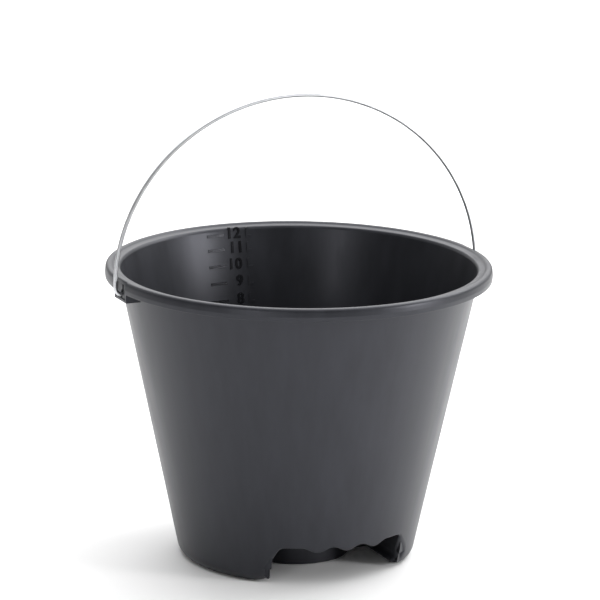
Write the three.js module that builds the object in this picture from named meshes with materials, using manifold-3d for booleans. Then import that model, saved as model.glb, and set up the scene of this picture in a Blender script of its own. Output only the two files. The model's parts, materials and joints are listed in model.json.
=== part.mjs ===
// A 12 litre bucket of moulded polypropylene with a free-swinging wire bail.
// Millimetres, +Z up. The origin is on the ground below the middle of the bucket,
// +X is the bail's hinge axis and -Y is the side with the tipping grip.
import * as THREE from 'three';
import { mergeVertices } from 'three/addons/utils/BufferGeometryUtils.js';
import Module from 'manifold-3d';

const wasm = await Module();
wasm.setup();

// ---- driving dimensions -------------------------------------------------
const height = 258.6; // ground to the crest of the rim
const rimRadius = 167.5; // outside of the rim flange
const baseRadius = 101.8; // outside of the wall, carried down to the ground
const wall = 2.5; // wall and floor thickness
const turnSteps = 80; // facets around the bucket

const flangeReach = 10.7; // flange lip out from the wall
const flangeDepth = 10.8; // crest down to the bottom of the lip
const flangeSkin = 2.2; // thickness of the lip
const grooveDepth = 4.2; // crest down to the ceiling of the groove behind the lip
const grooveChamfer = 1.4; // slope where the ceiling meets the lip
const lipRidge = 6.9; // crest down to the widest line of the lip
const lipDraft = 0.7; // lip leans in this far below its ridge
const shoulderDrop = 2.9; // crest down to where the lip rounds over
const shoulderLean = 0.5; // lip leans in this far above its ridge
const crestSetback = 4.5; // lip in to the crest
const valleySetback = 7.1; // lip in to the foot of the crest
const valleyDrop = 1.2;
const brimSetback = 11.6; // lip in to the brim's inside edge
const brimDrop = 2.2;
const brimRound = 2.4; // the brim runs down into the inside wall over this height
const earClearance = 2.5; // over an ear the lip is cut back this far

const floorHeight = 16; // top of the floor above the ground
const floorFillet = 8; // inside corner between floor and wall
const footRound = 8; // outside corner of the foot
const footFlat = 3; // flat band that the bucket stands on
const ringRadius = 45.7; // outside of the boss ring under the floor
const ringLift = 1; // ring ends this far above the ground

const pocketHalfWidth = 61; // tipping grip, middle to each side
const pocketBack = 17; // tipping grip's back wall, forward of the middle
const gripCrest = 34.6; // ground to the tops of the finger hollows
const roofRise = 1.9; // grip's roof above the tops of the finger hollows
const gripWave = 4.4; // depth of the bumps between fingers
const gripPitch = 26.5; // finger spacing
const gripBumps = 3;
const gripDraft = 3.6; // each end leans this far over its height
const gripCorner = 5; // round at the ends of the grip's top edge
const gripFlare = 7; // round where the ends meet the ground
const gripSpread = 0.4; // each end runs out this far wider at the ground
const gripEase = 0.6; // pull of the curves at the corners
const gripWaveSteps = 10; // straight pieces per bump

const earWidth = 26;
const earDepth = 1.6; // ear's face in from the flange lip
const earBottom = 18.6; // crest down to the ear's underside
const earTop = 4.1; // crest down to the ear's top
const earPlate = 2.5; // thickness of the ear's face
const earRib = 2.5; // side walls of the ear
const recessDepth = 1.1; // sunk panel around the hole
const slotWidth = 1.8; // slot from the hole up to the ear's top
const holeDrop = 13.2; // crest down to the hinge axis

const wireDiameter = 3.5;
const wireClearance = 0.6; // around the wire in its hole
const bailGap = 2.6; // between the ear's face and the upright wire
const bailRise = 156; // height of the arch above its springing
const bailSpring = 2.5; // hinge axis up to the arch's springing
const bailLean = 4.2; // degrees the bail leans towards +Y at rest
const bailBend = 5.5; // bend from the upright wire into the hole
const hookBend = 3.2; // bend of the hooked tip behind the ear
const hookReach = 6.4; // tip's end below the hinge axis
const hookSetback = 7.4; // hooked tip in from the ear's face

const markLength = 16.6;
const markHeight = 1.6;
const markRaise = 0.5;
const markStart = 2.1; // degrees from +Y to the near end of each bar
const litres = 12;
const litre = 1e6; // cubic millimetres
const topMarkDrop = 8.3; // the last mark stays this far below the crest

// ---- sizes that follow --------------------------------------------------
const wallTopRadius = rimRadius - flangeReach;
const wallSlope = (wallTopRadius - baseRadius) / (height - brimDrop);
const wallTilt = Math.atan(wallSlope);
const outerRadius = (z) => baseRadius + wallSlope * z;
const innerRadius = (z) => outerRadius(z) - wall;
const hingeHeight = height - holeDrop;
const earFace = rimRadius - earDepth;
const brimOutside = rimRadius - earClearance;
const bailHalfSpan = earFace + bailGap + wireDiameter / 2;
const pocketRoof = gripCrest + roofRise;
const farOut = rimRadius * 1.5; // past everything, for cutting shapes

// ---- geometry to solid and back -----------------------------------------
function toSolid(geometry) {
  const bare = geometry.clone();
  bare.deleteAttribute('normal');
  bare.deleteAttribute('uv');
  const merged = mergeVertices(bare, 1e-4);
  return new wasm.Manifold(new wasm.Mesh({
    numProp: 3,
    vertProperties: new Float32Array(merged.attributes.position.array),
    triVerts: new Uint32Array(merged.index.array),
  }));
}

function toGeometry(solid) {
  const mesh = solid.getMesh();
  const geometry = new THREE.BufferGeometry();
  geometry.setAttribute('position', new THREE.BufferAttribute(mesh.vertProperties, 3));
  geometry.setIndex(new THREE.BufferAttribute(mesh.triVerts, 1));
  geometry.computeVertexNormals();
  return geometry;
}

// ---- basic shapes -------------------------------------------------------
// A profile of (radius, height) points turned around Z.
function turned(points, steps = turnSteps) {
  return toSolid(new THREE.LatheGeometry(points, steps).rotateX(Math.PI / 2));
}

function point(x, y) {
  return new THREE.Vector2(x, y);
}

function disc(radiusLow, radiusHigh, low, high) {
  return turned([point(0, low), point(radiusLow, low), point(radiusHigh, high), point(0, high)]);
}

function box(xLow, xHigh, yLow, yHigh, zLow, zHigh) {
  const geometry = new THREE.BoxGeometry(xHigh - xLow, yHigh - yLow, zHigh - zLow);
  geometry.translate((xLow + xHigh) / 2, (yLow + yHigh) / 2, (zLow + zHigh) / 2);
  return toSolid(geometry);
}

// An upright outline in X and Z, made solid from yLow to yHigh.
function upright(shape, yLow, yHigh) {
  const geometry = new THREE.ExtrudeGeometry(shape, {
    depth: yHigh - yLow, bevelEnabled: false, curveSegments: 8,
  });
  geometry.rotateX(Math.PI / 2);
  geometry.translate(0, yHigh, 0);
  return toSolid(geometry);
}

// ---- bucket -------------------------------------------------------------
// The shell's profile: floor, skirt, foot, wall, rim flange, crest, brim and inside wall.
function shellProfile() {
  const r = rimRadius;
  const lipBottom = height - flangeDepth;
  const ceiling = height - grooveDepth;
  const brimFoot = height - brimDrop - brimRound;
  const lipInside = r - flangeSkin;
  const footMiddle = outerRadius(footRound) - footRound * Math.sqrt(1 + wallSlope ** 2);
  const filletMiddle = floorHeight + floorFillet;
  const filletRadius = innerRadius(filletMiddle) - floorFillet * Math.sqrt(1 + wallSlope ** 2);
  const profile = new THREE.Path();
  profile.moveTo(0, floorHeight - wall);
  profile.lineTo(innerRadius(floorHeight - wall), floorHeight - wall);
  profile.lineTo(innerRadius(footRound), footRound);
  profile.lineTo(footMiddle - footFlat, 0);
  profile.absarc(footMiddle, footRound, footRound, -Math.PI / 2, -wallTilt, false);
  profile.lineTo(outerRadius(lipBottom), lipBottom);
  profile.lineTo(outerRadius(ceiling), ceiling);
  profile.lineTo(lipInside - grooveChamfer, ceiling);
  profile.lineTo(lipInside, ceiling - grooveChamfer);
  profile.lineTo(lipInside, lipBottom);
  profile.lineTo(r - lipDraft, lipBottom);
  profile.lineTo(r, height - lipRidge);
  profile.lineTo(r - shoulderLean, height - shoulderDrop);
  profile.quadraticCurveTo(r - 2 * shoulderLean, height, r - crestSetback, height);
  profile.lineTo(r - valleySetback, height - valleyDrop);
  profile.lineTo(r - brimSetback, height - brimDrop);
  profile.quadraticCurveTo(innerRadius(height), height - brimDrop, innerRadius(brimFoot), brimFoot);
  profile.absarc(filletRadius, filletMiddle, floorFillet, -wallTilt, -Math.PI / 2, true);
  profile.lineTo(0, floorHeight);
  return profile.getPoints(3);
}

// The cavity above the tipping grip: a block from the front wall back to the ring.
function pocketBlock(halfWidth, back, ring, low, high, radiusAt) {
  const plan = box(-halfWidth, halfWidth, -farOut, -back, low, high);
  const limit = disc(radiusAt(low), radiusAt(high), low, high);
  return plan.intersect(limit).subtract(disc(ring, ring, low - 1, high + 1));
}

// The grip's edge: a cosine wave with round corners, then ends that lean in and
// flare out onto the ground.
function gripOpening() {
  const waveEnd = gripBumps * gripPitch / 2;
  const topHalf = pocketHalfWidth - gripDraft;
  const lowHalf = pocketHalfWidth + gripSpread;
  const straightLow = gripFlare + 3;
  const waveAt = (x) => gripCrest - gripWave / 2 * (1 + Math.cos(2 * Math.PI * x / gripPitch));
  const shape = new THREE.Shape();
  shape.moveTo(-lowHalf - gripFlare, -1);
  shape.lineTo(lowHalf + gripFlare, -1);
  shape.lineTo(lowHalf + gripFlare, 0);
  shape.quadraticCurveTo(lowHalf, 0, lowHalf - gripEase, straightLow);
  shape.lineTo(topHalf, gripCrest - gripCorner);
  shape.quadraticCurveTo(topHalf - gripEase, gripCrest, topHalf - gripCorner - gripEase, gripCrest);
  const steps = gripBumps * gripWaveSteps;
  for (let step = 0; step <= steps; step += 1) {
    const x = waveEnd - 2 * waveEnd * step / steps;
    shape.lineTo(x, waveAt(x));
  }
  shape.lineTo(-topHalf + gripCorner + gripEase, gripCrest);
  shape.quadraticCurveTo(-topHalf + gripEase, gripCrest, -topHalf, gripCrest - gripCorner);
  shape.lineTo(-lowHalf + gripEase, straightLow);
  shape.quadraticCurveTo(-lowHalf, 0, -lowHalf - gripFlare, 0);
  return upright(shape, -farOut, -pocketBack - wall);
}

// One ear on the +X side: a hollow block open below, with a sunk panel, the hole
// for the wire and the slot above it.
function earParts() {
  const half = earWidth / 2;
  const low = height - earBottom;
  const high = height - earTop;
  const inside = disc(innerRadius(0), innerRadius(height), 0, height);
  const wallCone = disc(outerRadius(0), outerRadius(height), 0, height);
  const innerFace = earFace - earPlate;
  const block = box(innerRadius(low), earFace, -half, half, low, high).subtract(inside);
  const hollow = box(0, innerFace, -half + earRib, half - earRib, low - 1, high - earRib)
    .subtract(wallCone);
  const recess = box(earFace - recessDepth, farOut, -half + earRib, half - earRib,
    low + earRib, high);
  const slot = box(innerFace - 1, farOut, -slotWidth / 2, slotWidth / 2, hingeHeight, high);
  const holeRadius = wireDiameter / 2 + wireClearance;
  const hole = toSolid(new THREE.CylinderGeometry(holeRadius, holeRadius, earPlate * 4, 24)
    .rotateZ(Math.PI / 2).translate(earFace - earPlate / 2, 0, hingeHeight));
  const overEar = box(0, farOut, -half, half, low, height + 1)
    .subtract(disc(brimOutside, brimOutside, low - 1, height + 2));
  return { add: block, clear: overEar, cut: hollow.add(recess).add(slot).add(hole) };
}

// The space that the tipping grip takes out of the bucket's volume.
function gripVolume() {
  const halfWidth = pocketHalfWidth + wall;
  const block = pocketBlock(halfWidth, pocketBack - wall, ringRadius - wall,
    floorHeight, pocketRoof + wall, innerRadius);
  return block.volume();
}

// A cone's volume up to a radius goes with the radius cubed, which gives the height
// at which the bucket holds a number of litres.
function litreHeight(count, taken) {
  const grown = 3 * wallSlope / Math.PI * (count * litre + taken);
  const radius = Math.cbrt(innerRadius(floorHeight) ** 3 + grown);
  return Math.min((radius - innerRadius(0)) / wallSlope, height - topMarkDrop);
}

// Raised litre bars on the inside of the wall, one short box per litre.
function litreMarks() {
  const taken = gripVolume();
  const marks = [];
  for (let count = 1; count <= litres; count += 1) {
    const z = litreHeight(count, taken);
    const sweep = THREE.MathUtils.degToRad(markStart) + markLength / 2 / innerRadius(z);
    const bar = new THREE.BoxGeometry(markLength, 2 * markRaise + wall / 2, markHeight);
    bar.rotateX(-wallTilt);
    bar.translate(0, innerRadius(z) + wall / 4, z);
    marks.push(toSolid(bar.rotateZ(sweep)));
  }
  return marks;
}

function makeBucket() {
  const ringInner = ringRadius - wall;
  const under = floorHeight - wall / 2;
  let bucket = turned(shellProfile());
  bucket = bucket.add(disc(ringRadius, ringRadius, ringLift, under)
    .subtract(disc(ringInner, ringInner, 0, floorHeight - wall)));
  bucket = bucket.add(pocketBlock(pocketHalfWidth + wall, pocketBack - wall, ringInner,
    ringLift, pocketRoof + wall, (z) => innerRadius(Math.max(z, footRound)) + wall / 4));
  bucket = bucket.subtract(pocketBlock(pocketHalfWidth, pocketBack, ringRadius,
    -1, pocketRoof, innerRadius));
  const skirtOnly = disc(innerRadius(-1) - 5, innerRadius(gripCrest + 1) - 5, -2, gripCrest + 1);
  bucket = bucket.subtract(gripOpening().subtract(skirtOnly));
  for (const turn of [0, 180]) {
    const ear = earParts();
    bucket = bucket.subtract(ear.clear.rotate([0, 0, turn]));
    bucket = bucket.add(ear.add.rotate([0, 0, turn]));
    bucket = bucket.subtract(ear.cut.rotate([0, 0, turn]));
  }
  for (const mark of litreMarks()) {
    bucket = bucket.add(mark);
  }
  return toGeometry(bucket);
}

// ---- bail ---------------------------------------------------------------
// The wire's middle line on the +X side, from the hooked tip to the springing.
function bailEnd() {
  const tipX = earFace - hookSetback;
  const start = Math.asin((bailBend - bailSpring) / bailRise);
  const legX = bailHalfSpan * Math.cos(start);
  const line = new THREE.Path();
  line.moveTo(tipX, -hookReach);
  line.lineTo(tipX, -hookBend);
  line.absarc(tipX + hookBend, -hookBend, hookBend, Math.PI, Math.PI / 2, true);
  line.absarc(legX - bailBend, bailBend, bailBend, -Math.PI / 2, 0, false);
  return line.getPoints(6);
}

function makeBail() {
  const end = bailEnd();
  const start = Math.asin((bailBend - bailSpring) / bailRise);
  const archSteps = 72;
  const points = [...end];
  for (let step = 1; step < archSteps; step += 1) {
    const turn = start + (Math.PI - 2 * start) * step / archSteps;
    points.push(point(bailHalfSpan * Math.cos(turn), bailSpring + bailRise * Math.sin(turn)));
  }
  points.push(...end.reverse().map((spot) => point(-spot.x, spot.y)));
  const spots = points.map((spot) => new THREE.Vector3(spot.x, 0, spot.y));
  const line = new THREE.CurvePath();
  for (let step = 1; step < spots.length; step += 1) {
    line.add(new THREE.LineCurve3(spots[step - 1], spots[step]));
  }
  const section = new THREE.Shape();
  section.absarc(0, 0, wireDiameter / 2, 0, 2 * Math.PI, false);
  const geometry = new THREE.ExtrudeGeometry(section, {
    extrudePath: line, steps: 220, bevelEnabled: false, curveSegments: 4,
  });
  return toGeometry(toSolid(geometry));
}

// ---- assembly -----------------------------------------------------------
const polypropylene = new THREE.MeshStandardMaterial({
  color: 0x3b3c40, roughness: 0.5, metalness: 0,
});
const galvanisedWire = new THREE.MeshStandardMaterial({
  color: 0xb4b5b8, roughness: 0.3, metalness: 1,
});

const bucketBody = new THREE.Mesh(makeBucket(), polypropylene);
bucketBody.name = 'bucket_body';

const bail = new THREE.Mesh(makeBail(), galvanisedWire);
bail.name = 'bail';
bail.position.z = hingeHeight;
bail.rotation.x = -THREE.MathUtils.degToRad(bailLean);

const bucket = new THREE.Group();
bucket.name = 'bucket';
bucket.add(bucketBody, bail);

export default bucket;
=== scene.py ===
import json
import math

import bmesh
import bpy
import numpy as np
from mathutils import Matrix, Vector


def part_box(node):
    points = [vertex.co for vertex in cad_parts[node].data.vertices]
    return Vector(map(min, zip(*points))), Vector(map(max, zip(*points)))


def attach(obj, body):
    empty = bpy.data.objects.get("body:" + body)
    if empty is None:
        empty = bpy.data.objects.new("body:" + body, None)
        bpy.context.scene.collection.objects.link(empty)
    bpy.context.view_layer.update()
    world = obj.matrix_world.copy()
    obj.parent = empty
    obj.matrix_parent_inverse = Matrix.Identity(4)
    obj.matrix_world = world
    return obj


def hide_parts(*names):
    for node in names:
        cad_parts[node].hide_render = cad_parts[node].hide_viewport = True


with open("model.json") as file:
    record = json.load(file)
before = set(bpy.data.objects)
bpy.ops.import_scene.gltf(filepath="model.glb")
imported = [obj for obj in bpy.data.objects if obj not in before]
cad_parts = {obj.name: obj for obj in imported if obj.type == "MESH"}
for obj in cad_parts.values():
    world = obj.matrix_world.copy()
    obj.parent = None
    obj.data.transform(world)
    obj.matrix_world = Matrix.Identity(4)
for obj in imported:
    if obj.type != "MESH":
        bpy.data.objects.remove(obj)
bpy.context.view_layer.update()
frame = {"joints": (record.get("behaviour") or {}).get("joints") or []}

# All shapes are worked out in millimetres and made into metres in addPiece.
# +X runs through the right ear, -Y is the side with the tipping grip, Z is up.
mm = 0.001
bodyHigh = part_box("bucket_body")[1]
hinge = next(joint for joint in frame["joints"] if joint["name"] == "bail_hinge")

bucket = {
    "height": 258.6,  # ground to the crest of the rim
    "rimRadius": bodyHigh.y / mm,  # outside of the rim flange
    "baseRadius": 101.8,  # outside of the wall carried down to the ground
    "wall": 2.5,
    "wallTop": 254.0,  # the rim takes over from the wall here
    "flangeReach": 10.7,  # flange lip out from the wall
    "brimDrop": 2.2,  # crest down to the brim's inside edge
    "earHalf": 13.0,  # half the width of an ear
    "earInset": 1.6,  # an ear's face in from the flange lip
    "hingeHeight": hinge["pos_m"][2] / mm,
}
rim = bucket["rimRadius"]
top = bucket["height"]
wallSlope = (rim - bucket["flangeReach"] - bucket["baseRadius"]) / (top - bucket["brimDrop"])
wallTilt = math.atan(wallSlope)


def outerRadius(z):
    return bucket["baseRadius"] + wallSlope * z


def innerRadius(z):
    return outerRadius(z) - bucket["wall"]


camera = {
    "place": (-1.3389, -2.9514, 1.0268),  # metres
    "turn": -24.4229,  # degrees about Z
    "tip": 76.111,  # degrees up from straight down
    "roll": 0.733,
    "lens": 231.6,
    "sensor": 36.0,
    "reach": 100,  # metres
}
cameraData = bpy.data.cameras.new("camera")
cameraData.lens = camera["lens"]
cameraData.sensor_width = camera["sensor"]
cameraData.clip_end = camera["reach"]
cameraObject = bpy.data.objects.new("camera", cameraData)
bpy.context.scene.collection.objects.link(cameraObject)
cameraObject.matrix_world = (
    Matrix.Translation(camera["place"])
    @ Matrix.Rotation(math.radians(camera["turn"]), 4, "Z")
    @ Matrix.Rotation(math.radians(camera["tip"]), 4, "X")
    @ Matrix.Rotation(math.radians(camera["roll"]), 4, "Z")
)
bpy.context.scene.camera = cameraObject
print("camera placed")


def linearColour(hexCode):
    # sRGB hex to linear RGBA
    parts = [int(hexCode[i:i + 2], 16) / 255 for i in (1, 3, 5)]
    linear = [c / 12.92 if c <= 0.04045 else ((c + 0.055) / 1.055) ** 2.4 for c in parts]
    return (*linear, 1.0)


def addNode(tree, kind, settings=None, links=None):
    # settings are node properties or socket values, links go from sockets to named inputs
    node = tree.nodes.new(kind)
    for name, value in (settings or {}).items():
        if hasattr(node, name):
            setattr(node, name, value)
        else:
            node.inputs[name].default_value = value
    for name, socket in (links or {}).items():
        tree.links.new(socket, node.inputs[name])
    return node


def perMetre(sizeInMm):
    # how many of a pattern's features of this size fit in a metre
    return 1 / (sizeInMm * mm)


# a Mix node's colour sockets go by number, because their names repeat
mixFactor, mixFirst, mixSecond, mixResult = 0, 6, 7, 2
noiseSpan = {"From Min": 0.3, "From Max": 0.7}  # nearly all of a noise pattern lies in this

# Moulded polypropylene: charcoal masterbatch, satin from a spark-eroded mould, so soft
# wide highlights, a fine grain and faint flow streaks down from the rim.
mouldedPp = {
    "dark": "#1e1f22",
    "light": "#26272b",
    "roughness": 0.39,
    "roughnessSpread": 0.035,
    "ior": 1.49,
    "specular": 0.43,
    "specularTint": "#f2f3ff",  # the pigment leaves its gloss a little blue
    "grainSize": 1.1,  # real grain is 0.1 mm, drawn coarser so that it shows
    "grainDepth": 0.012,  # mm
    "waveSize": 38.0,  # slow shrinkage ripple over the ribs of the mould
    "waveDepth": 0.05,  # mm
    "streakSize": 14.0,  # flow streaks, mm across
    "streakStretch": 0.16,  # and about six times as long
}


def mouldedPolypropylene(name, look):
    material = bpy.data.materials.new(name)
    material.use_nodes = True
    tree = material.node_tree
    shader = tree.nodes["Principled BSDF"]
    shader.inputs["IOR"].default_value = look["ior"]
    shader.inputs["Specular IOR Level"].default_value = look["specular"]
    shader.inputs["Specular Tint"].default_value = linearColour(look["specularTint"])
    place = addNode(tree, "ShaderNodeTexCoord").outputs["Object"]
    stretched = addNode(tree, "ShaderNodeMapping", {
        "Scale": (1.0, 1.0, look["streakStretch"]),
    }, {"Vector": place})
    streaks = addNode(tree, "ShaderNodeTexNoise", {
        "Scale": perMetre(look["streakSize"]), "Detail": 4.0, "Roughness": 0.6,
    }, {"Vector": stretched.outputs["Vector"]})
    grain = addNode(tree, "ShaderNodeTexNoise", {
        "Scale": perMetre(look["grainSize"]), "Detail": 2.0, "Roughness": 0.5,
    }, {"Vector": place})
    wave = addNode(tree, "ShaderNodeTexNoise", {
        "Scale": perMetre(look["waveSize"]), "Detail": 1.0, "Roughness": 0.4,
    }, {"Vector": place})
    tone = addNode(tree, "ShaderNodeMapRange", {
        **noiseSpan, "To Min": 0.0, "To Max": 1.0,
    }, {"Value": streaks.outputs["Fac"]})
    colour = addNode(tree, "ShaderNodeMix", {"data_type": "RGBA"})
    colour.inputs[mixFirst].default_value = linearColour(look["dark"])
    colour.inputs[mixSecond].default_value = linearColour(look["light"])
    tree.links.new(tone.outputs["Result"], colour.inputs[mixFactor])
    tree.links.new(colour.outputs[mixResult], shader.inputs["Base Color"])
    rough = addNode(tree, "ShaderNodeMapRange", {
        **noiseSpan,
        "To Min": look["roughness"] - look["roughnessSpread"],
        "To Max": look["roughness"] + look["roughnessSpread"],
    }, {"Value": streaks.outputs["Fac"]})
    tree.links.new(rough.outputs["Result"], shader.inputs["Roughness"])
    ripple = addNode(tree, "ShaderNodeBump", {
        "Strength": 1.0, "Distance": look["waveDepth"] * mm,
    }, {"Height": wave.outputs["Fac"]})
    fine = addNode(tree, "ShaderNodeBump", {
        "Strength": 1.0, "Distance": look["grainDepth"] * mm,
    }, {"Height": grain.outputs["Fac"], "Normal": ripple.outputs["Normal"]})
    tree.links.new(fine.outputs["Normal"], shader.inputs["Normal"])
    return material


# Galvanised drawn wire: bright zinc with fine draw lines along it and a faint bloom.
zincWire = {
    "bright": "#dcdde0",
    "dull": "#c6c8cb",
    "smoothest": 0.33,  # roughness
    "roughest": 0.40,
    "spangle": 5.0,  # mm
    "drawLine": 0.5,  # mm, real lines are 0.05 mm and are drawn coarser so that they show
    "drawDepth": 0.0008,  # mm
}


def galvanisedWire(name, look):
    material = bpy.data.materials.new(name)
    material.use_nodes = True
    tree = material.node_tree
    shader = tree.nodes["Principled BSDF"]
    shader.inputs["Metallic"].default_value = 1.0
    place = addNode(tree, "ShaderNodeTexCoord").outputs["Object"]
    bloom = addNode(tree, "ShaderNodeTexNoise", {
        "Scale": perMetre(look["spangle"]), "Detail": 3.0, "Roughness": 0.55,
    }, {"Vector": place})
    lines = addNode(tree, "ShaderNodeTexNoise", {
        "Scale": perMetre(look["drawLine"]), "Detail": 1.0, "Roughness": 0.5,
    }, {"Vector": place})
    colour = addNode(tree, "ShaderNodeMix", {"data_type": "RGBA"})
    colour.inputs[mixFirst].default_value = linearColour(look["dull"])
    colour.inputs[mixSecond].default_value = linearColour(look["bright"])
    tree.links.new(bloom.outputs["Fac"], colour.inputs[mixFactor])
    tree.links.new(colour.outputs[mixResult], shader.inputs["Base Color"])
    rough = addNode(tree, "ShaderNodeMapRange", {
        **noiseSpan, "To Min": look["smoothest"], "To Max": look["roughest"],
    }, {"Value": bloom.outputs["Fac"]})
    tree.links.new(rough.outputs["Result"], shader.inputs["Roughness"])
    bump = addNode(tree, "ShaderNodeBump", {
        "Strength": 1.0, "Distance": look["drawDepth"] * mm,
    }, {"Height": lines.outputs["Fac"]})
    tree.links.new(bump.outputs["Normal"], shader.inputs["Normal"])
    return material


# The marks are polished in the mould, and their colour is painted darker than the satin around
# them: painted shade standing in for the dark surroundings that their polish reflects.
polishedShadedPp = {
    **mouldedPp, "dark": "#0c0c0e", "light": "#101113", "roughness": 0.24, "grainDepth": 0.004,
}
satinCharcoal = mouldedPolypropylene("moulded_polypropylene_satin", mouldedPp)
polishedShadedMark = mouldedPolypropylene("moulded_polypropylene_polished_painted_shade", polishedShadedPp)
brightZinc = galvanisedWire("galvanised_drawn_wire", zincWire)
print("materials made")


def gridFaces(rows, columns, wrapRows=True, wrapColumns=True):
    # quads of a rows x columns grid of points numbered row by row
    row = np.arange(rows if wrapRows else rows - 1)[:, None]
    column = np.arange(columns if wrapColumns else columns - 1)[None, :]
    nextRow = (row + 1) % rows
    nextColumn = (column + 1) % columns
    return np.stack([
        row * columns + column, row * columns + nextColumn,
        nextRow * columns + nextColumn, nextRow * columns + column,
    ], axis=-1)


def addPiece(name, points, faces, material, body="bucket", node="bucket_body",
             slot="moulded_polypropylene", sharpAngle=38.0):
    # points in millimetres and faces of a closed shape, which are turned to face outwards
    mesh = bpy.data.meshes.new(name)
    mesh.from_pydata((np.asarray(points) * mm).tolist(), [], faces)
    mesh.validate()
    closed = bmesh.new()
    closed.from_mesh(mesh)
    bmesh.ops.recalc_face_normals(closed, faces=closed.faces)
    closed.to_mesh(mesh)
    closed.free()
    mesh.polygons.foreach_set("use_smooth", np.ones(len(mesh.polygons), dtype=bool))
    mesh.set_sharp_from_angle(angle=math.radians(sharpAngle))
    mesh.materials.append(material)
    piece = bpy.data.objects.new(name, mesh)
    bpy.context.scene.collection.objects.link(piece)
    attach(piece, body)
    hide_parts(node)
    return piece


def revolve(profile, steps=240):
    # every (radius, z) of a closed profile turned about Z: x = r sin a, y = -r cos a
    profile = np.asarray(profile, float)
    turn = np.linspace(0, 2 * np.pi, steps, endpoint=False)
    radius = profile[:, 0][:, None]
    points = np.stack([
        radius * np.sin(turn), -radius * np.cos(turn),
        np.repeat(profile[:, 1][:, None], steps, 1),
    ], axis=-1).reshape(-1, 3)
    return points, gridFaces(len(profile), steps).reshape(-1, 4).tolist()


def bend(start, control, end, count):
    # quadratic curve: (1-t)^2 start + 2t(1-t) control + t^2 end
    t = np.linspace(0, 1, count)[:, None]
    start, control, end = (np.asarray(p, float) for p in (start, control, end))
    return (1 - t) ** 2 * start + 2 * t * (1 - t) * control + t ** 2 * end


def arc(centre, radius, fromAngle, toAngle, count):
    # centre + radius (cos a, sin a), angles in degrees
    turn = np.radians(np.linspace(fromAngle, toAngle, count))
    return np.stack([centre[0] + radius * np.cos(turn), centre[1] + radius * np.sin(turn)], 1)


def smoothStep(value, low, high):
    # 3t^2 - 2t^3, where t is how far value lies from low to high
    t = np.clip((value - low) / (high - low), 0, 1)
    return t * t * (3 - 2 * t)


def prism(outline, low, high):
    # a closed outline of (a, b) points made solid from c = low to c = high
    outline = np.asarray(outline, float)
    count = len(outline)
    points = np.concatenate([
        np.column_stack([outline, np.full(count, low)]),
        np.column_stack([outline, np.full(count, high)])])
    sides = gridFaces(2, count, wrapRows=False).reshape(-1, 4).tolist()
    return points, sides + [list(range(count))[::-1], list(range(count, 2 * count))]


def joinShapes(shapes):
    # several (points, faces) made one
    points, faces, count = [], [], 0
    for shapePoints, shapeFaces in shapes:
        points.append(np.asarray(shapePoints, float))
        faces += [[number + count for number in face] for face in shapeFaces]
        count += len(shapePoints)
    return np.concatenate(points), faces


# The wall and the tipping grip are one skin. Heights are above the ground, widths are
# from the middle of the grip.
grip = {
    "crest": 34.6,  # the tops of the finger hollows
    "wave": 4.4,  # depth of the bumps between fingers
    "pitch": 26.5,  # finger spacing
    "bumps": 3,
    "topHalf": 57.0,
    "lowHalf": 59.5,
    "corner": 5.0,
    "cornerEnd": 5,  # degrees from level where the corner meets the leaning end
    "flareWide": 14.0,  # the ends run out onto the ground in a quarter ellipse
    "flareHigh": 12.0,
    "footTurn": 9.0,  # edge back to where the foot's rounding starts
    "endTurn": 12.5,  # the same at the grip's ends
    "lipTurn": 1.0,  # and along the finger hollows
    "turnFrom": 50.0,  # the rounding grows from here to the ends
    "footFrom": 8,  # degrees round the flare where the skin starts to turn to the middle
    "footFull": 62,
    "roof": 36.5,
    "roundFrom": 52.4,  # the roof comes down between here and roundTo
    "roundTo": 57.3,
    "stepDepths": (1.4, 1.9, 2.3),  # a step behind the lip leads up to the roof
    "stepRises": (0.0, 0.55, 1.0),
    "sink": 0.8,  # share of the lip's flare that the sides of the grip keep
    "sinkRows": 4,
    "cornerCap": 4.4,  # top of the skin over the roof's rounded ends
    "cornerFall": 0.6,
    "seamAt": 61,  # degrees round the flare where the grip's inside ends
    "back": 14.5,  # back face of the grip's back wall, forward of the middle
    "ring": 43.2,
    "footFlat": 3.0,
    "slopeTop": 8.0,  # the foot's inside slope ends at this height
    "straightTo": 60.0,  # columns run straight down to here
}
gripSteps = {
    "wave": 61,
    "flat": 12,
    "corner": 12,
    "side": 13,
    "flare": 25,
    "foot": 84,
    "up": 16,
    "down": 18,
    "curl": 13,
    "band": 7,
    "tunnel": 9,  # rows going in under the roof, and as many coming back over it
    "inside": 14,
}


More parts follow.
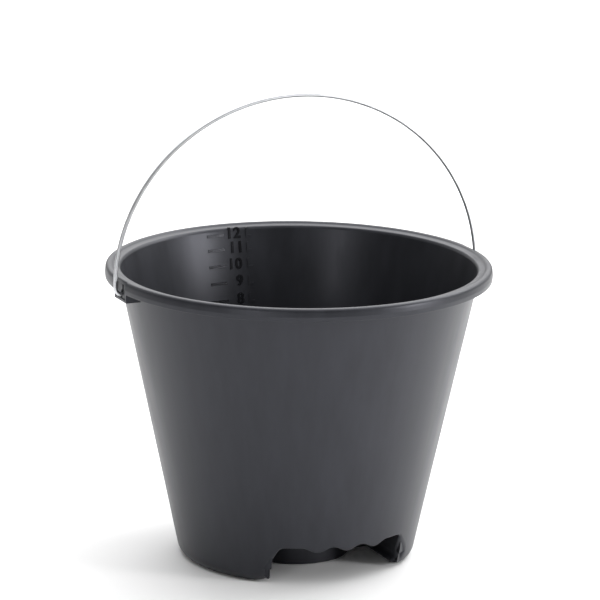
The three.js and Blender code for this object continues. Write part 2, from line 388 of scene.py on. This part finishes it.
def gripOutline():
    # Half of the opening's edge, from the middle to the back of the foot: its angle from
    # -Y, its height and how far round the flare each point lies. The finger hollows are
    # z = crest - wave/2 (1 + cos(2 pi x / pitch)). Also where the end and the foot start.
    g, steps = grip, gripSteps
    waveEnd = g["bumps"] * g["pitch"] / 2
    waveX = np.linspace(0, waveEnd, steps["wave"])
    waveZ = g["crest"] - g["wave"] / 2 * (1 + np.cos(2 * np.pi * waveX / g["pitch"]))
    cornerX, cornerZ = g["topHalf"] - g["corner"], g["crest"] - g["corner"]
    flatX = np.linspace(waveEnd, cornerX, steps["flat"])[1:]
    corner = arc((cornerX, cornerZ), g["corner"], 90, g["cornerEnd"], steps["corner"])[1:]
    sideZ = np.linspace(corner[-1, 1], g["flareHigh"], steps["side"])[1:-1]
    sideShare = (sideZ - g["flareHigh"]) / (corner[-1, 1] - g["flareHigh"])
    sideX = g["lowHalf"] + (corner[-1, 0] - g["lowHalf"]) * sideShare
    flareDegrees = np.linspace(0, 90, steps["flare"])
    flareTurn = np.radians(flareDegrees)
    flareX = g["lowHalf"] + g["flareWide"] * (1 - np.cos(flareTurn))
    flareZ = g["flareHigh"] * (1 - np.sin(flareTurn))
    flatZ = np.full(len(flatX), g["crest"])
    x = np.concatenate([waveX, flatX, corner[:, 0], sideX, flareX])
    z = np.concatenate([waveZ, flatZ, corner[:, 1], sideZ, flareZ])
    angle = np.arcsin(x / outerRadius(z))
    footAngle = np.linspace(angle[-1], np.pi, steps["foot"])[1:]
    flareAt = np.concatenate([
        np.zeros(len(x) - steps["flare"]), flareDegrees, np.full(len(footAngle), 90.0)])
    endStart = len(waveX) + len(flatX) + len(corner)
    return (np.concatenate([angle, footAngle]), np.concatenate([z, 0 * footAngle]), flareAt,
            endStart, len(x))


def onCone(angle, height, radiusOf):
    # x = r sin a, y = -r cos a, where r is the wall's radius at that height
    radius = radiusOf(height)
    return np.stack([
        radius * np.sin(angle), -radius * np.cos(angle), height + 0 * angle], -1)


def wallShape():
    g, steps = grip, gripSteps
    angle, z, flareAt, endStart, footStart = gripOutline()
    count = len(angle)
    edge = onCone(angle, z, outerRadius)
    step = np.gradient(edge, axis=0)
    step[0] = (1, 0, 0)  # level at the middle and at the back
    step[-1] = (-1, 0, 0)
    step /= np.linalg.norm(step, axis=1)[:, None]
    length = np.concatenate([[0], np.cumsum(np.linalg.norm(np.diff(edge, axis=0), axis=1))])

    def across(a):
        return np.stack([np.cos(a), np.sin(a), 0 * a], 1)

    def along(a):
        flat, rise = math.sin(wallTilt), math.cos(wallTilt)
        return np.stack([np.sin(a) * flat, -np.cos(a) * flat, rise + 0 * a], 1)

    # the direction in the wall's surface, square to the edge and away from the opening
    awayAcross = -(step * along(angle)).sum(1)
    awayAlong = (step * across(angle)).sum(1)
    size = np.hypot(awayAcross, awayAlong)
    awayAcross, awayAlong = awayAcross / size, awayAlong / size

    # how far back from the edge the rounding starts: little along the fingers, growing
    # round the corner to the grip's ends, and less again along the foot
    growFrom = length[np.searchsorted(edge[:footStart, 0], g["turnFrom"])]
    growTo = length[footStart - steps["flare"]]
    reach = g["lipTurn"] + (g["endTurn"] - g["lipTurn"]) * smoothStep(length, growFrom, growTo)
    reach += (g["footTurn"] - g["endTurn"]) * smoothStep(flareAt, 0, 90)
    curlZ = z + reach * awayAlong * math.cos(wallTilt)
    curlAngle = angle + reach * awayAcross / outerRadius(curlZ)

    # where the skin turns to: straight back in the grip, towards the middle in the foot
    inward = np.stack([-np.sin(angle), np.cos(angle), 0 * angle], 1)
    footShare = smoothStep(flareAt, g["footFrom"], g["footFull"])[:, None]
    goal = (1 - footShare) * np.array([0.0, 1.0, 0.0]) + footShare * inward
    goal /= np.linalg.norm(goal, axis=1)[:, None]
    start = -(awayAcross[:, None] * across(curlAngle) + awayAlong[:, None] * along(curlAngle))

    # straight columns above: the grip's points spread evenly by their length
    endAngle = math.asin((g["lowHalf"] + g["flareWide"]) / outerRadius(g["straightTo"]))
    footStretch = (np.pi - endAngle) / (np.pi - angle[footStart - 1])
    upAngle = np.where(
        np.arange(count) < footStart, endAngle * length / length[footStart - 1],
        endAngle + (angle - angle[footStart - 1]) * footStretch)

    upRows = np.linspace(bucket["wallTop"], g["straightTo"], steps["up"])[:-1, None]
    outerUp = onCone(upAngle, upRows, outerRadius)
    t = np.linspace(0, 1, steps["down"])[:, None]
    outerDown = onCone(
        upAngle + (curlAngle - upAngle) * t, g["straightTo"] + (curlZ - g["straightTo"]) * t,
        outerRadius)
    # an arc from the start direction round to the goal: start point
    # + r (sin a start + (1 - cos a) square), where r = reach / tan(half the turning)
    turning = np.arccos(np.clip((start * goal).sum(1), -1, 1))[:, None]
    square = goal - np.cos(turning) * start
    square /= np.linalg.norm(square, axis=1)[:, None]
    curl = reach[:, None] / np.tan(turning / 2)
    turned = turning * np.linspace(0, 1, steps["curl"])[1:, None, None]
    curlRows = outerDown[-1] + curl * (np.sin(turned) * start + (1 - np.cos(turned)) * square)
    lip = curlRows[-1]

    # inside the grip: lip, step up to the roof, straight back, and the outside returning
    going = steps["tunnel"]
    x = edge[:, 0]
    isEnd = np.arange(count) >= endStart
    isRounding = ~isEnd & (x >= g["roundFrom"])
    flareTurn = np.radians(flareAt)
    roundShare = smoothStep(x, g["roundFrom"], g["roundTo"])
    sinkX = np.where(flareAt > 0, g["lowHalf"] + (lip[:, 0] - g["lowHalf"]) * g["sink"], x)
    normalX = np.where(flareAt > 0, np.cos(flareTurn), smoothStep(x, g["roundFrom"], g["topHalf"]))
    normalX[footStart:] = 0
    roofZ = np.where(x < g["roundFrom"], g["roof"], z + (g["roof"] - g["crest"]) * (1 - roundShare))
    roofZ = np.where(isEnd, z, roofZ)
    capZ = np.where(isEnd, z + np.sin(flareTurn) * bucket["wall"], roofZ + bucket["wall"])
    capZ = np.where(isRounding, z + g["cornerCap"] * (1 - g["cornerFall"] * roundShare), capZ)
    capX = np.where(isEnd, sinkX, x) + bucket["wall"] * normalX
    frontY = lip[:, 1]
    backY = -np.sqrt(np.maximum(g["ring"] ** 2 - x ** 2, g["back"] ** 2))
    depths = np.array(g["stepDepths"])[:, None]
    t = np.linspace(0, 1, going - len(depths) + 1)[1:, None]
    goingY = np.concatenate([
        frontY + depths, frontY + depths[-1] + (backY - frontY - depths[-1]) * t])
    rise = np.concatenate([g["stepRises"], np.ones(going - len(depths))])[:, None]
    sink = smoothStep(np.arange(going), 0, g["sinkRows"])[:, None]
    goingIn = np.stack([
        lip[:, 0] + (sinkX - lip[:, 0]) * sink, goingY, z + (roofZ - z) * rise], -1)
    frontInside = -np.sqrt(np.maximum(innerRadius(capZ) ** 2 - capX ** 2, 1))
    t = np.arange(going)[:, None] / going
    returning = np.stack([capX + 0 * t, backY + (frontInside - backY) * t, capZ + 0 * t], -1)
    tunnelRows = np.concatenate([goingIn, returning])
    tunnelFront = np.stack([capX, frontInside, capZ], 1)

    # under the foot: a flat band, then a slope up to the inside of the wall
    bandEnd = lip + g["footFlat"] * goal
    slopeEnd = onCone(angle, g["slopeTop"], innerRadius)
    bandShare = np.linspace(0, 1, steps["band"])[1:, None, None]
    slopeShare = np.linspace(0, 1, 2 * going - len(bandShare) + 2)[1:-1, None, None]
    footRows = np.concatenate([
        lip + (bandEnd - lip) * bandShare, bandEnd + (slopeEnd - bandEnd) * slopeShare])

    isTunnel = (np.arange(count) < footStart) & (flareAt <= g["seamAt"])
    middle = np.where(isTunnel[None, :, None], tunnelRows, footRows)
    innerFront = np.where(isTunnel[:, None], tunnelFront, slopeEnd)
    frontAngle = np.arctan2(innerFront[:, 0], -innerFront[:, 1])
    frontZ = innerFront[:, 2]
    t = np.linspace(0, 1, steps["inside"])[:, None]
    innerDown = onCone(
        frontAngle + (upAngle - frontAngle) * t, frontZ + (g["straightTo"] - frontZ) * t,
        innerRadius)
    innerUp = onCone(upAngle, upRows[::-1], innerRadius)
    half = np.concatenate([outerUp, outerDown, curlRows, middle, innerDown, innerUp])

    # the other half is its mirror image, and the two share the middle and the back
    mirrored = half[:, -2:0:-1] * np.array([-1.0, 1.0, 1.0])
    whole = np.concatenate([mirrored, half], axis=1)
    rows, columns = whole.shape[:2]
    firstRow = len(outerUp) + len(outerDown) + len(curlRows) - 1
    lastRow = firstRow + 2 * going + 1
    lastTunnel = int(np.nonzero(isTunnel)[0][-1])
    rightSeam = mirrored.shape[1] + lastTunnel  # between this column and the next
    leftSeam = mirrored.shape[1] - lastTunnel - 1
    keep = np.ones((rows, columns), bool)
    keep[firstRow:lastRow, [leftSeam, rightSeam]] = False
    faces = gridFaces(rows, columns)[keep].tolist()

    # the ends of the grip's sides: each closes on itself and joins the foot's inside
    for tunnelColumn, footColumn in ((rightSeam, rightSeam + 1), (leftSeam + 1, leftSeam)):
        under = [row * columns + tunnelColumn for row in range(firstRow, firstRow + going + 1)]
        over = [row * columns + tunnelColumn for row in range(lastRow, lastRow - going - 1, -1)]
        foot = [row * columns + footColumn for row in range(firstRow, lastRow + 1)]
        closing = [
            [under[i], over[i], over[i + 1], under[i + 1]] for i in range(going)]
        closing.append([under[0], *foot, over[0]])
        isRight = tunnelColumn == rightSeam
        faces += closing if isRight else [face[::-1] for face in closing]
    return whole.reshape(-1, 3), faces


addPiece("bucket_wall", *wallShape(), satinCharcoal)
print("bucket wall made")

# Radii are measured in from the lip of the flange, heights down from the crest.
rimSize = {
    "skin": 2.2,  # thickness of the lip
    "depth": 10.8,  # the lip's lower edge
    "edgeRound": 0.4,
    "ridge": 6.9,  # the lip's widest line
    "draft": 0.3,
    "shoulder": 2.9,  # where the lip rounds over
    "lean": 0.5,
    "crestIn": 4.5,
    "crestOverlap": 0.6,  # the flange starts this far inside the crest
    "valleyIn": 7.1,
    "valleyDrop": 1.2,
    "valleyCover": 0.6,
    "brimIn": 11.6,
    "cutBack": 2.5,  # over an ear the rim ends this far in
    "beadRound": 1.3,
    "beadCorner": 0.6,
    "under": 4.2,  # the groove's ceiling
    "chamfer": 1.4,  # where the ceiling meets the lip
    "ceilingIn": 9.0,
    "ceilingSkin": 2.6,
    "rootDrop": 2.0,  # the bead's root below the groove's ceiling
    "rootIn": 0.9,  # the root starts this deep in the wall
}


def rimTop():
    # from the inside wall over the brim and the valley to the crest
    r = rimSize
    inside = (innerRadius(bucket["wallTop"]), bucket["wallTop"])
    brim = (rim - r["brimIn"], top - bucket["brimDrop"])
    valley = (rim - r["valleyIn"], top - r["valleyDrop"])
    rise = (valley[0] + 0.4, valley[1] + 0.2)  # the crest's curve takes over here
    crest = (rim - r["crestIn"], top)
    return np.concatenate([
        bend(inside, (innerRadius(top), brim[1] - 0.1), brim, 9),
        bend(brim, (valley[0] - 0.5, valley[1] - 0.8), rise, 9)[1:],
        bend(rise, (crest[0] - 1.2, top), crest, 7)[1:],
    ])


def beadProfile():
    # the rim as it runs on over the ears: brim, crest and a short outside face
    r = rimSize
    outside = rim - r["cutBack"]
    crest = (rim - r["crestIn"], top)
    ceiling = top - r["under"]
    root = ceiling - r["rootDrop"]
    wallOutside = outerRadius(bucket["wallTop"])
    return np.concatenate([
        rimTop(),
        bend(crest, (outside - 0.2, top), (outside, top - r["beadRound"]), 7)[1:],
        [(outside, ceiling + 0.2), (outside - r["beadCorner"], ceiling),
         (wallOutside - 0.5, ceiling), (wallOutside - 1.2, root),
         (innerRadius(bucket["wallTop"]) + r["rootIn"], root)],
    ])


def flangeProfile():
    # crest rounding over into the lip, the lip's ridge, and the groove behind it
    r = rimSize
    ceiling = top - r["under"]
    inside = rim - r["skin"]
    shoulder = (rim - r["lean"], top - r["shoulder"])
    ridge = (rim, top - r["ridge"])
    edge = (rim - r["draft"], top - r["depth"] + r["edgeRound"])
    return np.concatenate([
        [(rim - r["crestIn"] - r["crestOverlap"], top - 0.02)],
        bend((rim - r["crestIn"], top), (rim - 2 * r["lean"] - 0.2, top + 0.1), shoulder, 15),
        bend(shoulder, (rim - 0.1, ridge[1] + 0.8), ridge, 5)[1:],
        bend(ridge, (rim - 0.05, ridge[1] - 0.5), edge, 5)[1:],
        arc((edge[0] - r["edgeRound"], edge[1]), r["edgeRound"], 0, -90, 5)[1:],
        arc((inside + r["edgeRound"], edge[1]), r["edgeRound"], -90, -180, 5),
        [(inside, ceiling - r["chamfer"]), (inside - r["chamfer"], ceiling),
         (rim - r["ceilingIn"], ceiling), (rim - r["ceilingIn"], top - r["ceilingSkin"]),
         (rim - r["valleyIn"], top - r["valleyDrop"] - r["valleyCover"])],
    ])


def sweepBetween(profile, halfWidth, steps, firstTurn, lastTurn):
    # A closed profile carried round Z with its ends in planes that lie halfWidth off the
    # middle: each point's angle runs from firstTurn + asin(halfWidth / r) to lastTurn less
    # that, and x = r sin a, y = -r cos a.
    cut = np.arcsin(halfWidth / profile[:, 0])[:, None]
    share = np.linspace(0, 1, steps)[None, :]
    turn = firstTurn + cut + (lastTurn - firstTurn - 2 * cut) * share
    radius = profile[:, 0][:, None]
    points = np.stack([
        radius * np.sin(turn), -radius * np.cos(turn),
        np.repeat(profile[:, 1][:, None], steps, 1),
    ], -1).reshape(-1, 3)
    count = len(profile)
    faces = gridFaces(count, steps, wrapColumns=False).reshape(-1, 4).tolist()
    starts = [row * steps for row in range(count)]
    return points, faces + [starts, [start + steps - 1 for start in starts][::-1]]


flangeSteps = 130
quarterTurn = np.pi / 2
addPiece("rim_bead", *revolve(beadProfile()), satinCharcoal)
for name, middleTurn in (("rim_flange_front", 0.0), ("rim_flange_back", np.pi)):
    addPiece(name, *sweepBetween(
        flangeProfile(), bucket["earHalf"], flangeSteps,
        middleTurn - quarterTurn, middleTurn + quarterTurn), satinCharcoal)
print("rim made")

ear = {
    "face": rim - bucket["earInset"],
    "low": top - 18.6,
    "high": top - 4.1,
    "plate": 2.5,
    "rib": 2.5,
    "root": 0.9,  # how deep its ribs start in the bucket's wall
    "sunk": 1.1,  # the plate around the hole lies this far behind the face
    "lap": 0.3,  # pieces of an ear run this far into each other
    "plateLow": 1.5,
    "hole": 2.35,
    "holeFrom": 60,  # degrees, the hole's round part starts at the slot
    "holeTo": -205,
    "slotHalf": 1.3,
    "slotAt": -3.6,  # the slot stands beside the hole and slants down into it
    "slotNear": 5.4,  # hinge axis up to where the slot's two sides start to slant
    "slotFar": 3.6,
    "edge": 0.35,
    "edgeAngle": 40,
}


def rectangle(yLow, yHigh, zLow, zHigh):
    return [(yLow, zLow), (yHigh, zLow), (yHigh, zHigh), (yLow, zHigh)]


def plateBetween(outline, xLow, xHigh):
    # an outline of (y, z) points made solid from x = xLow to x = xHigh
    points, faces = prism(outline, xLow, xHigh)
    return points[:, [2, 0, 1]], faces


def ribShape(yLow, yHigh):
    # an upright plate from y = yLow to yHigh, from inside the bucket's wall out to the face
    e = ear
    outline = [
        (innerRadius(e["low"]) + e["root"], e["low"]), (e["face"], e["low"]),
        (e["face"], e["high"]), (innerRadius(e["high"]) + e["root"], e["high"]),
    ]
    points, faces = prism(outline, yLow, yHigh)
    return points[:, [0, 2, 1]], faces


def earShape(side):
    e = ear
    front = e["face"] - e["sunk"]
    behind = e["face"] - e["plate"]
    root = innerRadius(e["high"]) + e["root"]
    z = bucket["hingeHeight"]
    inner = bucket["earHalf"] - e["rib"]
    wide = inner + e["lap"]
    slotLow, slotHigh = e["slotAt"] - e["slotHalf"], e["slotAt"] + e["slotHalf"]
    plate = np.concatenate([
        [(-wide, e["low"] + e["plateLow"]), (wide, e["low"] + e["plateLow"]), (wide, e["high"]),
         (slotHigh, e["high"]), (slotHigh, z + e["slotNear"])],
        arc((0, z), e["hole"], e["holeFrom"], e["holeTo"], 20),
        [(slotLow, z + e["slotFar"]), (slotLow, e["high"]), (-wide, e["high"])],
    ])
    lowPlate = rectangle(-wide, wide, e["low"], e["low"] + e["rib"])
    highPlate = rectangle(-wide, wide, e["high"] - e["rib"], e["high"] - 0.1)
    points, faces = joinShapes([
        plateBetween(plate, behind, front),
        plateBetween(lowPlate, behind, e["face"]),
        plateBetween(highPlate, root, behind + e["lap"]),
        ribShape(inner, bucket["earHalf"]),
        ribShape(-bucket["earHalf"], -inner),
    ])
    return points * np.array([side, 1.0, 1.0]), faces


for side, name in ((1.0, "ear_right"), (-1.0, "ear_left")):
    piece = addPiece(name, *earShape(side), satinCharcoal)
    soft = piece.modifiers.new("edges", "BEVEL")
    soft.width = ear["edge"] * mm
    soft.segments = 2
    soft.limit_method = "ANGLE"
    soft.angle_limit = math.radians(ear["edgeAngle"])
print("ears made")

base = {
    "floorTop": 16.0,
    "floorFillet": 8.0,
    "filletRoot": 1.2,  # how deep the fillet's back lies in the wall
    "plateLap": 0.3,  # the floor runs this far under its fillet
    "ringOutside": 45.65,
    "ringInside": 43.25,
    "ringLow": 1.0,
    "ringRound": 0.3,
    "backLow": 0.8,
    "backHigh": 37.6,
    "backMiddle": 15.75,  # middle of the grip's back wall, forward of the bucket's middle
    "backCorner": 1.5,  # it leaves the ring this far out from where the two lines meet
    "sideX": 60.4,  # the floor and the back wall end in the grip's sides
    "clear": 0.02,  # keeps faces from lying in each other
}
floorUnder = base["floorTop"] - bucket["wall"]
ringMiddle = (base["ringOutside"] + base["ringInside"]) / 2


def floorShape():
    # a flat plate cut out around the grip, and its edge curling up into the wall
    b = base
    filletZ = b["floorTop"] + b["floorFillet"]
    filletR = innerRadius(filletZ) - b["floorFillet"] * math.sqrt(1 + wallSlope ** 2)
    edge = np.concatenate([
        [(filletR - 1.0, floorUnder), (filletR - 1.0, b["floorTop"] - b["clear"])],
        arc((filletR, filletZ), b["floorFillet"] + b["clear"], -90, -math.degrees(wallTilt), 14),
        [(innerRadius(filletZ) + b["filletRoot"], filletZ + 0.5),
         (innerRadius(floorUnder) + b["filletRoot"], floorUnder)],
    ])
    half = b["sideX"]
    plateR = filletR + b["plateLap"]
    start = math.asin(half / plateR)
    turn = np.linspace(start, 2 * np.pi - start, 160)
    ringTurn = math.acos(b["backMiddle"] / ringMiddle)
    front = np.linspace(-ringTurn, ringTurn, 40)
    outline = np.concatenate([
        np.stack([plateR * np.sin(turn), -plateR * np.cos(turn)], 1),
        [(-half, -b["backMiddle"])],
        np.stack([ringMiddle * np.sin(front), -ringMiddle * np.cos(front)], 1),
        [(half, -b["backMiddle"])],
    ])
    plate = prism(outline, floorUnder, b["floorTop"])
    return joinShapes([plate, sweepBetween(edge, half, 200, 0.0, 2 * np.pi)])


def backWallShape():
    # a wall carried along straight pieces and the arc around the ring, seen from above
    b = base
    half = bucket["wall"] / 2
    bendX = math.sqrt(ringMiddle ** 2 - b["backMiddle"] ** 2)
    start = math.atan2(bendX, b["backMiddle"])
    turn = np.linspace(-start, start, 60)
    leaveX = bendX + b["backCorner"]
    path = np.concatenate([
        [(-b["sideX"], -b["backMiddle"]), (-leaveX, -b["backMiddle"])],
        np.stack([ringMiddle * np.sin(turn), -ringMiddle * np.cos(turn)], 1),
        [(leaveX, -b["backMiddle"]), (b["sideX"], -b["backMiddle"])],
    ])
    step = np.gradient(path, axis=0)
    step /= np.linalg.norm(step, axis=1)[:, None]
    away = np.stack([step[:, 1], -step[:, 0]], 1)
    outside = path + away * (half - b["clear"])
    inside = path - away * (half - 2 * b["clear"])
    return prism(np.concatenate([outside, inside[::-1]]), b["backLow"], b["backHigh"])


ringTop = floorUnder + 0.5
ringProfile = [
    (base["ringOutside"], ringTop),
    (base["ringOutside"], base["ringLow"] + base["ringRound"]),
    (base["ringOutside"] - base["ringRound"], base["ringLow"]),
    (base["ringInside"] + base["ringRound"], base["ringLow"]),
    (base["ringInside"], base["ringLow"] + base["ringRound"]),
    (base["ringInside"], ringTop),
]
addPiece("bucket_floor", *floorShape(), satinCharcoal)
addPiece("base_ring", *revolve(ringProfile, 120), satinCharcoal)
addPiece("grip_back_wall", *backWallShape(), satinCharcoal)
print("floor, ring and grip made")

scale = {
    "litres": 12,
    "taken": 0.29,  # litres that the grip and the foot take out of the bucket
    "barFrom": 2.1,  # degrees from +Y to the bar's near end
    "barLength": 16.6,
    "barHeight": 2.4,
    "raise": 0.5,
    "capHeight": 10.2,
    "letterShare": 0.8,  # the letter's height against the numerals'
    "digitAt": 4.1,  # degrees to the numerals' right edge
    "letterAt": 6.0,  # degrees to the letter's left edge
    "digitAbove": 1.5,
    "topDrop": 8.0,
    "bold": 0.03,
    "spacing": 1.08,
    "sharpAngle": 30,
}


def litreHeight(count):
    # r^3 = floor's inside radius^3 + 3 slope / pi x volume, for a cone
    cubicMm = (count + scale["taken"]) * 1e6
    grown = 3 * wallSlope / math.pi * cubicMm
    radius = (innerRadius(base["floorTop"]) ** 3 + grown) ** (1 / 3)
    return min((radius - innerRadius(0)) / wallSlope, top - scale["topDrop"])


def letterShape(text, height, rightAligned):
    # a word as a closed mesh: x to the right from 0 or up to 0, y up about 0, z raised
    curve = bpy.data.curves.new("letters", "FONT")
    curve.body = text
    curve.size = 1.0
    curve.extrude = 0.1
    curve.offset = scale["bold"]
    curve.space_character = scale["spacing"]
    curve.resolution_u = 4
    holder = bpy.data.objects.new("letters", curve)
    bpy.context.scene.collection.objects.link(holder)
    bpy.context.view_layer.update()
    graph = bpy.context.evaluated_depsgraph_get()
    mesh = bpy.data.meshes.new_from_object(holder.evaluated_get(graph))
    merged = bmesh.new()
    merged.from_mesh(mesh)
    bmesh.ops.remove_doubles(merged, verts=merged.verts, dist=1e-5)
    merged.to_mesh(mesh)
    merged.free()
    flat = np.empty(3 * len(mesh.vertices), np.float32)
    mesh.vertices.foreach_get("co", flat)
    points = flat.reshape(-1, 3).astype(float)
    faces = [list(face.vertices) for face in mesh.polygons]
    bpy.data.objects.remove(holder)
    bpy.data.meshes.remove(mesh)
    size = height / (points[:, 1].max() - points[:, 1].min())
    points[:, 0] -= points[:, 0].max() if rightAligned else points[:, 0].min()
    points[:, 1] -= (points[:, 1].max() + points[:, 1].min()) / 2
    points[:, :2] *= size
    points[:, 2] = np.where(points[:, 2] > 0, scale["raise"], -bucket["wall"] / 2)
    return points, faces


def onInside(points, degrees, z):
    # wraps a flat shape onto the inside of the wall: x goes round from +Y towards +X,
    # y goes up the wall and z comes out of it
    height = z + points[:, 1] * math.cos(wallTilt)
    radius = innerRadius(height)
    turn = math.radians(degrees) + points[:, 0] / radius
    out = radius - points[:, 2]
    return np.stack([out * np.sin(turn), out * np.cos(turn), height], 1)


def barShape():
    # a strip with nine stations along it, so that it follows the round wall
    half = scale["barHeight"] / 2
    along = np.linspace(-scale["barLength"], 0, 9)
    outline = np.concatenate([
        np.stack([along, 0 * along - half], 1), np.stack([along[::-1], 0 * along + half], 1)])
    return prism(outline, -bucket["wall"] / 2, scale["raise"])


marks = []
letters = []
for litre in range(1, scale["litres"] + 1):
    z = litreHeight(litre)
    numeral = letterShape(str(litre), scale["capHeight"], True)
    letter = letterShape("L", scale["capHeight"] * scale["letterShare"], False)
    for group, (points, faces), degrees, lift in (
            (marks, barShape(), -scale["barFrom"], 0.0),
            (marks, numeral, scale["digitAt"], scale["digitAbove"]),
            (letters, letter, scale["letterAt"], scale["digitAbove"])):
        group.append((onInside(points, degrees, z + lift), faces))
sharpAngle = scale["sharpAngle"]
# the bars and numerals take the polished material, whose darker colour is painted shade
addPiece("litre_scale", *joinShapes(marks), polishedShadedMark, sharpAngle=sharpAngle)
addPiece("litre_letters", *joinShapes(letters), satinCharcoal, sharpAngle=sharpAngle)
print("litre scale made")

bail = {
    "wire": 3.5,
    "gap": 2.6,  # an ear's face to the upright wire
    "rise": 156.0,
    "spring": 2.5,  # hinge axis up to the arch's springing
    "lean": 4.2,  # degrees towards +Y
    "bend": 5.5,
    "hookBend": 3.2,
    "hookStraight": 1.0,
    "hookReach": 6.4,
    "hookSetback": 7.4,
    "endRound": 0.35,  # the cut ends are a little rounded
    "sides": 24,
}


def bailLine():
    # hooked tip, bend into the hole, bend up, then half an ellipse; mirrored beyond the top
    b = bail
    face = ear["face"]
    halfSpan = face + b["gap"] + b["wire"] / 2
    tip = face - b["hookSetback"]
    startTurn = math.asin((b["bend"] - b["spring"]) / b["rise"])
    leg = halfSpan * math.cos(startTurn)
    arch = np.linspace(startTurn, math.pi / 2, 90)[1:]
    half = np.concatenate([
        [(tip, -b["hookReach"]), (tip, -b["hookBend"] - b["hookStraight"])],
        arc((tip + b["hookBend"], -b["hookBend"]), b["hookBend"], 180, 90, 9),
        arc((leg - b["bend"], b["bend"]), b["bend"], -90, 0, 13),
        np.stack([halfSpan * np.cos(arch), b["spring"] + b["rise"] * np.sin(arch)], 1),
    ])
    return np.concatenate([half, half[-2::-1] * np.array([-1.0, 1.0])])


def bailShape():
    # a round section carried along the line; the line lies in a plane, so the section's
    # two directions are the plane's normal and the line's own normal
    b = bail
    line = bailLine()
    step = np.gradient(line, axis=0)
    step /= np.linalg.norm(step, axis=1)[:, None]
    away = np.stack([step[:, 1], -step[:, 0]], 1)
    inset = step[[0, -1]] * b["endRound"]
    at = np.concatenate([
        line[:1], line[:1] + inset[:1], line[1:-1], line[-1:] - inset[1:], line[-1:]])
    out = np.concatenate([away[:1], away, away[-1:]])
    radius = np.full((len(at), 1), b["wire"] / 2)
    radius[[0, -1]] -= b["endRound"]
    turn = np.linspace(0, 2 * np.pi, b["sides"], endpoint=False)
    sideways = radius * np.cos(turn)
    x = at[:, :1] + sideways * out[:, :1]
    y = radius * np.sin(turn)
    z = at[:, 1:] + sideways * out[:, 1:]
    lean = math.radians(b["lean"])
    points = np.stack([
        x, y * math.cos(lean) + z * math.sin(lean),
        bucket["hingeHeight"] - y * math.sin(lean) + z * math.cos(lean)], -1).reshape(-1, 3)
    faces = gridFaces(len(at), b["sides"], wrapRows=False).reshape(-1, 4).tolist()
    numbers = list(range(len(points)))
    return points, faces + [numbers[:b["sides"]][::-1], numbers[-b["sides"]:]]


addPiece("bail_wire", *bailShape(), brightZinc, body="bail_swing", node="bail",
         slot="galvanised_wire")
print("bail made")

# The bright side of the room is behind and overhead, the dark side is in front.
studio = {
    "floorHalf": 14.0,  # metres
    "floor": "#f4f4f4",
    "backdropSide": (0.42, 0.50, 0.757),
    "backdrop": 0.85,
    "darkSide": 0.12,
    "fadeFrom": -0.05,
    "fadeTo": 0.55,
    "lights": (  # name, place, aim, size and watts
        ("soft_right", (1.15, 0.1, 1.1), (0.45, 0, 0), (0.9, 0.9), 12),
        ("soft_front_right", (2.0, -1.9, 0.8), (0, 0, 0.2), (0.6, 0.8), 40),
        ("soft_front_left", (-2.1, -1.75, 0.75), (0, 0, 0.2), (0.5, 0.8), 9),
        ("soft_back", (1.0, 2.2, 1.9), (0, 0, 0.2), (2.6, 2.2), 30),
        ("soft_overhead", (0.5, 0.9, 2.4), (0.2, 0.3, 0), (2.6, 2.6), 45),
        ("fill", (0.0, -1.0, 2.4), (0, 0, 0), (3.0, 3.0), 24),
    ),
    "noGlare": ("fill",),  # lifts the shadow in front and leaves no glare on the rim
}
floorMesh = bpy.data.meshes.new("studio_floor")
reach = studio["floorHalf"]
floorCorners = [(-reach, -reach, 0), (reach, -reach, 0), (reach, reach, 0), (-reach, reach, 0)]
floorMesh.from_pydata(floorCorners, [], [[0, 1, 2, 3]])
floorMaterial = bpy.data.materials.new("studio_floor_paper")
floorMaterial.use_nodes = True
paper = floorMaterial.node_tree.nodes["Principled BSDF"]
paper.inputs["Base Color"].default_value = linearColour(studio["floor"])
paper.inputs["Roughness"].default_value = 0.9
paper.inputs["Specular IOR Level"].default_value = 0.1
floorMesh.materials.append(floorMaterial)
floorObject = bpy.data.objects.new("studio_floor", floorMesh)
bpy.context.scene.collection.objects.link(floorObject)

world = bpy.data.worlds.new("studio")
bpy.context.scene.world = world
world.use_nodes = True
background = world.node_tree.nodes["Background"]
direction = addNode(world.node_tree, "ShaderNodeTexCoord").outputs["Generated"]
facing = addNode(world.node_tree, "ShaderNodeVectorMath", {"operation": "DOT_PRODUCT"})
facing.inputs[1].default_value = studio["backdropSide"]
world.node_tree.links.new(direction, facing.inputs[0])
strength = addNode(world.node_tree, "ShaderNodeMapRange", {
    "interpolation_type": "SMOOTHSTEP",
    "From Min": studio["fadeFrom"], "From Max": studio["fadeTo"],
    "To Min": studio["darkSide"], "To Max": studio["backdrop"],
}, {"Value": facing.outputs["Value"]})
world.node_tree.links.new(strength.outputs["Result"], background.inputs["Strength"])
background.inputs["Color"].default_value = (1, 1, 1, 1)


def addLight(name, place, aim, size, power):
    # a soft rectangular light at place, facing aim
    data = bpy.data.lights.new(name, "AREA")
    data.shape = "RECTANGLE"
    data.size, data.size_y = size
    data.energy = power
    light = bpy.data.objects.new(name, data)
    bpy.context.scene.collection.objects.link(light)
    light.location = place
    light.rotation_euler = (Vector(aim) - Vector(place)).to_track_quat("-Z", "Y").to_euler()
    light.visible_glossy = name not in studio["noGlare"]


for light in studio["lights"]:
    addLight(*light)
bpy.context.scene.view_settings.view_transform = "Standard"
bpy.context.scene.view_settings.look = "None"
print("studio made")
